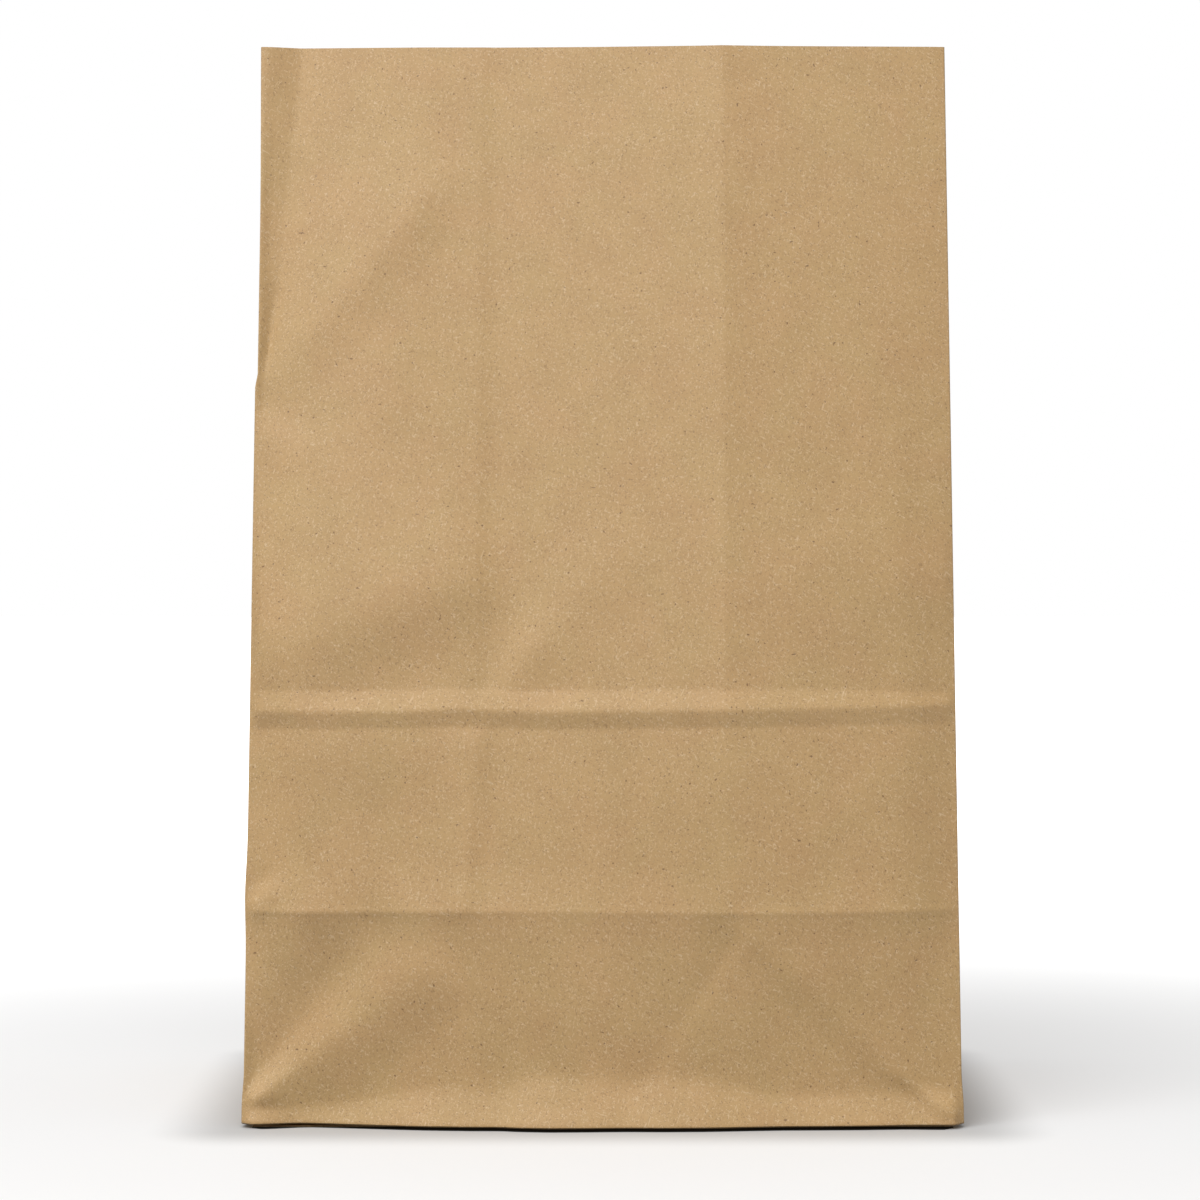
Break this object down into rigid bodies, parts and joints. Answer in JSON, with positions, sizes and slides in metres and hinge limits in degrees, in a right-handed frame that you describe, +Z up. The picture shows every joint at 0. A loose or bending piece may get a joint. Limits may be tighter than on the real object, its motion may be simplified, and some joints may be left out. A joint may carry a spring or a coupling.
{
  "type": "paper lunch bag",
  "caption": "Brown kraft paper bag with tucked sides and a square folded floor, standing half open, with the creases left by flat storage.",
  "frame": {"origin": "middle of the floor's underside, on the surface that the bag stands on", "axes": "+Z up to the mouth, +X to the right of the front panel, the front panel faces -Y"},
  "size_m": [0.16, 0.11, 0.247],
  "materials": {
    "kraft_paper": "matt, unbleached brown, with fine fibres and specks"
  },
  "bodies": {
    "root": {"paper_bag": "kraft_paper"}
  },
  "joints": []
}
